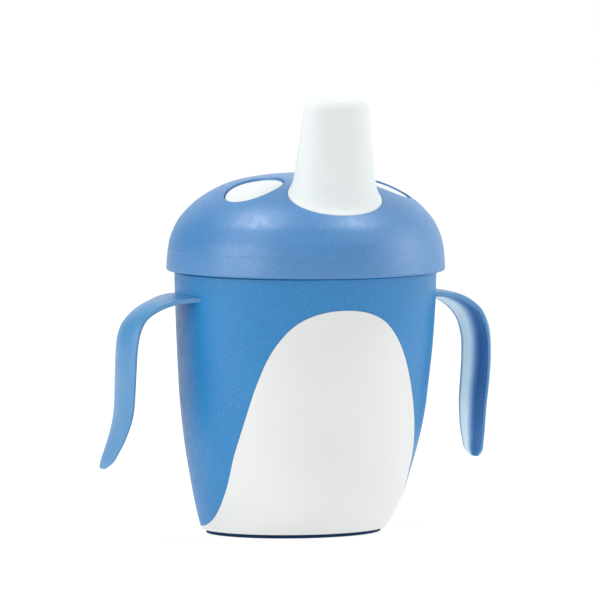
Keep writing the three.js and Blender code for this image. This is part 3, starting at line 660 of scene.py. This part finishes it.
def flared_cutter(name, cx, cy, a, b, low, soft=1.0, segments=128):
    """An upright oval cutter whose mouth opens where it meets the dome."""
    t = np.arange(segments) / segments * 2 * math.pi
    bx, by = cx + a * np.sin(t), cy - b * np.cos(t)
    zz = dome_z(bx, by)
    grid = [[(cx, cy, low)] * segments, np.stack([bx, by, np.full(segments, low)], 1)]
    for h, g in ((-0.42, 0.0), (-0.3, 0.02), (-0.2, 0.07), (-0.1, 0.16), (-0.03, 0.28), (0.02, 0.42), (0.4, 1.3)):
        g, h = g * soft, h * (soft if h < 0 else 1)
        x, y = cx + (a + g) * np.sin(t), cy - (b + g) * np.cos(t)
        grid.append(np.stack([x, y, dome_z(x, y) + h], 1))
    x, y = cx + (a + 1.3) * np.sin(t), cy - (b + 1.3) * np.cos(t)
    grid.append(np.stack([x, y, np.full(segments, 120.0)], 1))
    grid.append([(cx, cy, 120)] * segments)
    return rings(name, grid)


EYE_X, EYE_Y, EYE_R = 20.05, -10.1, 9.0
for s in (1, -1):
    boolean(shell, flared_cutter("c", s * EYE_X, EYE_Y, EYE_R - 0.05, EYE_R - 0.05, 88))
boolean(shell, flared_cutter("c", 0, -25.3, 14.5, 10.3, 92.5, 0.35))
boolean(shell, lathe("c", [(0, 100), (0.9, 100), (0.9, 108.35), (1.2, 108.9), (1.2, 112), (0, 112)], 0, 9, 32))
# gate mark: a small shallow dimple low on the front of the skirt
dimple = lathe("c", [(0.62 * math.sin(t), -0.62 * math.cos(t)) for t in np.linspace(0, math.pi, 17)], 0, 0, 32)
dimple.data.transform(Matrix.Translation(Vector((-6.15, -41.55, 84.3)) * MM))
boolean(shell, dimple)
for k in range(3):
    join(shell, helix_bar("lug", 20 + 120 * k + 90, 60, 81.3 - 1.95 + 3.0, 40.2, 37.85, 1.6, steps=40))
finish(shell, 35)
dress(shell, "lid", "lid_blue", LID_BLUE, "lid_shell")

# ------------------------------------------------------------- spout insert
top_in = dome_inset(2.0, 92.6)
under = dome_inset(3.3, 94.6)
prof = ([(33.2, 93.5), (33.2, 90.4), (33.35, 90.3), (37.75, 90.3), (37.9, 90.45), (37.9, 90.9)]
        + [tuple(p) for p in top_in[::2]] + ([tuple(top_in[-1])] if len(top_in) % 2 == 0 else [])
        + [tuple(p) for p in under[::-3]])
insert = closed_lathe("insert_dome", prof, 192)


def boss(sx):
    r = EYE_R - 0.3
    t = np.arange(96) / 96 * 2 * math.pi
    grid = []
    spec = [(0, -2.9), (r, -2.9), (r, -1.1)]
    spec += [(r - 0.35 * (1 - math.cos(q)), -1.1 + 0.35 * math.sin(q)) for q in np.linspace(0, math.pi / 2, 5)[1:]]
    spec += [(rr, -0.75) for rr in np.linspace(r - 0.6, 0, 16)]
    for rr, h in spec:
        x, y = sx * EYE_X + rr * np.sin(t), EYE_Y - rr * np.cos(t)
        grid.append(np.stack([x, y, dome_z(x, y) + h], 1))
    return rings("boss", grid)


boolean(insert, boss(1), "UNION")
boolean(insert, boss(-1), "UNION")

SPOUT_ROWS = [
    [107, 12.72, 8.65, -24.65], [110.7, 12.24, 8.2, -24.9], [114.3, 11.82, 7.75, -25.1],
    [118, 11.38, 7.25, -25.45], [121.5, 10.95, 6.85, -25.8], [125, 10.6, 6.45, -26.2],
    [128.6, 10.25, 6.05, -26.5],
]
sp = [spline([r[0] for r in SPOUT_ROWS], [r[c] for r in SPOUT_ROWS]) for c in (1, 2, 3)]
flare = table([[-2.6, 1], [-0.1, 1], [0.35, 0.84], [1.0, 0.55], [2.0, 0.28], [3.6, 0.08], [5.2, 0.0]], 1)
T = np.arange(144) / 144 * 2 * math.pi
base_x, base_y = 14.4 * np.sin(T), -25.3 - 10.2 * np.cos(T)
base_z = dome_z(base_x, base_y)
grid = [[(0, -25.3, 101.5)] * 144]


def oval(a, b, y, z):
    # an ellipse: with p at 1 the section is not squared
    p = 1.0
    s, c = np.sin(T), np.cos(T)
    return np.stack([a * np.sign(s) * np.abs(s) ** p, y - b * np.sign(c) * np.abs(c) ** p, np.broadcast_to(z, (144,))], -1)


LEVEL = 112.0
for f in np.linspace(-0.2, 1, 44):
    # heights run from just under the dome's surface up to one level ring
    z = base_z + (LEVEL - base_z) * max(f, 0) + (2.6 * f / 0.2 if f < 0 else 0)
    zz = np.maximum(z, 110.7)
    down = np.maximum(0, 110.7 - z)
    a = sp[0](zz) + down * 0.128
    b = sp[1](zz) + down * 0.118
    y = sp[2](zz) + down * 0.03
    w = flare(z - base_z)
    px, py = a * np.sin(T), y - b * np.cos(T)
    grid.append(np.stack([px + (base_x - px) * w, py + (base_y - py) * w, z], 1))
for z in np.linspace(LEVEL, 128.6, 18)[1:]:
    grid.append(oval(float(sp[0](z)), float(sp[1](z)), float(sp[2](z)), z))
a0, b0, y0 = (float(f(128.6)) for f in sp)
for t in np.linspace(0, math.pi / 2, 14)[1:]:
    k = 1 - math.cos(t)
    grid.append(oval(a0 - 0.3 * math.sin(t) - 3.8 * k, b0 - 0.3 * math.sin(t) - 3.0 * k, y0 - 0.45 * math.sin(t), 128.6 + 3.75 * math.sin(t)))
a1, b1, y1 = a0 - 4.1, b0 - 3.3, y0 - 0.45
for f in np.linspace(1, 0, 8)[1:]:
    grid.append(oval(a1 * f, b1 * f, y1, 132.35 + 0.2 * (1 - f * f)))
spout = rings("spout", grid)
boolean(insert, spout, "UNION")


def oval_rod(rows, segments=96):
    t = np.arange(segments) / segments * 2 * math.pi
    g = [[(0, rows[0][3], rows[0][0])] * segments]
    g += [np.stack([a * np.sin(t), y - b * np.cos(t), np.full(segments, z)], 1) for z, a, b, y in rows]
    g.append([(0, rows[-1][3], rows[-1][0])] * segments)
    return rings("rod", g)


boolean(insert, oval_rod([[86.2, 11.4, 7.4, -21.5], [86.6, 11.6, 7.6, -21.5], [101, 11.6, 7.6, -22.4]]), "UNION")
boolean(insert, lathe("tube", [(0, 86.0), (4.3, 86.0), (4.5, 86.2), (4.5, 106), (0, 106)], 0, 9, 64), "UNION")
bore = [[80, 10.0, 6.0, -21.5], [86.0, 10.0, 6.0, -21.5], [99, 9.9, 5.9, -22.4], [107, 9.7, 5.6, -23.9],
        [118, 9.0, 4.9, -25.4], [129.4, 8.2, 4.0, -26.8], [130.2, 7.4, 3.2, -26.9]]
boolean(insert, oval_rod(bore))
boolean(insert, lathe("c", [(0, 80), (3.2, 80), (3.2, 104.4), (0, 104.4)], 0, 9, 64))
boolean(insert, lathe("c", [(0, 100), (0.9, 100), (0.9, 112), (0, 112)], 0, 9, 32))
for x in (-4.6, 0, 4.6):
    boolean(insert, lathe("c", [(0, 126), (0.9, 126), (0.9, 132.0), (1.0, 132.25), (1.4, 132.7), (1.4, 136), (0, 136)], x, -27, 40))
finish(insert, 38)
dress(insert, "lid", "spout_white", SPOUT, "spout_insert")

# ------------------------------------------------------------------- gasket
seal = lathe("seal_ring", rounded([(33.7, 88.15), (37.5, 88.15), (37.5, 90.15), (33.7, 90.15)], 0.45, 5, closed=True), segments=192, closed=True)
finish(seal, 45)
dress(seal, "gasket", "silicone_clear", SILICONE, "lid_gasket")

# ------------------------------------------------------------ valve carrier
carrier = oval_rod([[84.2, 12.9, 8.9, -21.5], [84.5, 13.2, 9.2, -21.5], [91.8, 13.2, 9.2, -21.5], [92.0, 13.0, 9.0, -21.5]])
carrier.name = "carrier"
boolean(carrier, lathe("c", rounded([(0, 84.2), (6.1, 84.2), (6.1, 92.0), (0, 92.0)], 0.3, 3), 0, 9, 72), "UNION")
bar = rounded([(-5, 84.25), (5, 84.25), (5, 86.4), (-5, 86.4)], 0.5, 4, closed=True)
nb = len(bar)
bar_v = [(x, -13.2, z) for x, z in bar] + [(x, 4.2, z) for x, z in bar]
bar_f = [(i, (i + 1) % nb, nb + (i + 1) % nb, nb + i) for i in range(nb)] + [tuple(range(nb))[::-1], tuple(range(nb, 2 * nb))]
boolean(carrier, new_object("bar", bar_v, bar_f), "UNION")
boolean(carrier, oval_rod([[85.7, 11.9, 7.9, -21.5], [91.6, 11.92, 7.92, -21.7], [92.2, 12.3, 8.3, -21.7], [94, 12.3, 8.3, -21.7]]))
boolean(carrier, lathe("c", [(0, 85.7), (4.8, 85.7), (4.8, 91.7), (5.1, 92.2), (5.1, 95), (0, 95)], 0, 9, 64))
for x, y, r in ((0, -21.5, 1.8), (0, 9, 1.3), (3.9, -21.5, 1.2), (-3.9, -21.5, 1.2), (0, -17.8, 1.2), (0, -25.2, 1.2)):
    boolean(carrier, lathe("c", [(0, 83), (r, 83), (r, 87), (0, 87)], x, y, 32))
for k in range(3):
    a = k * 120 * RAD
    boolean(carrier, lathe("c", [(0, 83), (0.7, 83), (0.7, 87), (0, 87)], 2.75 * math.sin(a), 9 + 2.75 * math.cos(a), 20))
finish(carrier, 35)
dress(carrier, "valve", "carrier_white", CARRIER, "valve_holder")

flow = lathe("flow_umbrella", rounded([
    (0, 82.8), (1.5, 82.8), (2.4, 83.5), (2.4, 84.05), (1.5, 84.05), (1.5, 85.85),
    (5.5, 85.85), (5.5, 86.2), (2.2, 86.8), (0, 86.9)], 0.14, 3), 0, -21.5, 72)
finish(flow, 45)
dress(flow, "valve", "silicone_clear", SILICONE, "flow_membrane")
vent = lathe("vent_umbrella", rounded([
    (0, 83.1), (2.6, 83.2), (4.6, 83.7), (4.6, 84.05), (1.0, 84.05), (1.0, 85.85),
    (1.7, 85.85), (1.7, 86.3), (1.1, 87.0), (0, 87.0)], 0.12, 3), 0, 9, 64)
finish(vent, 45)
dress(vent, "valve", "silicone_clear", SILICONE, "vent_membrane")

# --------------------------------------------------------- floor and lights
floor_mat = Nodes("floor_pale")
floor_mat.set(Emission_Color=(1.0, 1.0, 1.0), Emission_Strength=0.80, Base_Color=floor_mat.ramp(floor_mat.noise(3, 2), [(0.3, (0.29, 0.29, 0.29)), (0.7, (0.31, 0.31, 0.31))]), Roughness=0.9, Specular_IOR_Level=0.1)
fm = bpy.data.meshes.new("floor")
fm.from_pydata([(-9, -9, -3e-5), (9, -9, -3e-5), (9, 14, -3e-5), (-9, 14, -3e-5)], [], [(0, 1, 2, 3)])
floor = bpy.data.objects.new("floor", fm)
bpy.context.scene.collection.objects.link(floor)
fm.materials.append(floor_mat.mat)

world = bpy.data.worlds.new("studio")
bpy.context.scene.world = world
world.use_nodes = True
wt = world.node_tree
bg = wt.nodes["Background"]
bg.inputs["Strength"].default_value = 0.56
wc = wt.nodes.new("ShaderNodeTexCoord").outputs["Generated"]


def sky_dot(direction, lo, hi, a, b):
    """Brightness of the studio's wall by its direction from the object."""
    d = wt.nodes.new("ShaderNodeVectorMath")
    d.operation = "DOT_PRODUCT"
    wt.links.new(wc, d.inputs[0])
    d.inputs[1].default_value = Vector(direction).normalized()
    m = wt.nodes.new("ShaderNodeMapRange")
    m.interpolation_type = "SMOOTHSTEP"
    for key, val in (("From Min", lo), ("From Max", hi), ("To Min", a), ("To Max", b)):
        m.inputs[key].default_value = val
    wt.links.new(d.outputs["Value"], m.inputs["Value"])
    return m.outputs["Result"]


dim_left = sky_dot((-0.80, 0.60, 0.0), 0.3, 0.85, 1.0, 0.35)
bright_back = sky_dot((0.45, 0.85, 0.30), 0.5, 0.92, 0.0, 1.1)
both = wt.nodes.new("ShaderNodeMath")
wt.links.new(dim_left, both.inputs[0])
wt.links.new(bright_back, both.inputs[1])
wall = wt.nodes.new("ShaderNodeCombineColor")
for c in ("Red", "Green", "Blue"):
    wt.links.new(both.outputs[0], wall.inputs[c])
wt.links.new(wall.outputs["Color"], bg.inputs["Color"])


def softbox(name, at, target, size, power, colour=(1, 1, 1)):
    ld = bpy.data.lights.new(name, "AREA")
    ld.shape = "RECTANGLE"
    ld.size, ld.size_y = size
    ld.energy = power
    ld.color = colour
    ob = bpy.data.objects.new(name, ld)
    bpy.context.scene.collection.objects.link(ob)
    d = Vector(target) - Vector(at)
    ob.matrix_world = Matrix.Translation(at) @ d.to_track_quat("-Z", "Y").to_matrix().to_4x4()
    return ob


softbox("over_left", (-0.59, 0.05, 1.11), (0, 0, 0.09), (0.42, 0.42), 6.0)
softbox("over_right", (0.49, -0.34, 1.11), (0, 0, 0.09), (0.38, 0.38), 4.4)
softbox("side_left", (-1.28, -0.30, 0.30), (0, 0, 0.07), (0.9, 0.9), 8.5)
softbox("side_right", (1.25, -0.36, 0.35), (0, 0, 0.07), (0.9, 0.9), 6.0)
bpy.context.scene.view_settings.view_transform = "Standard"
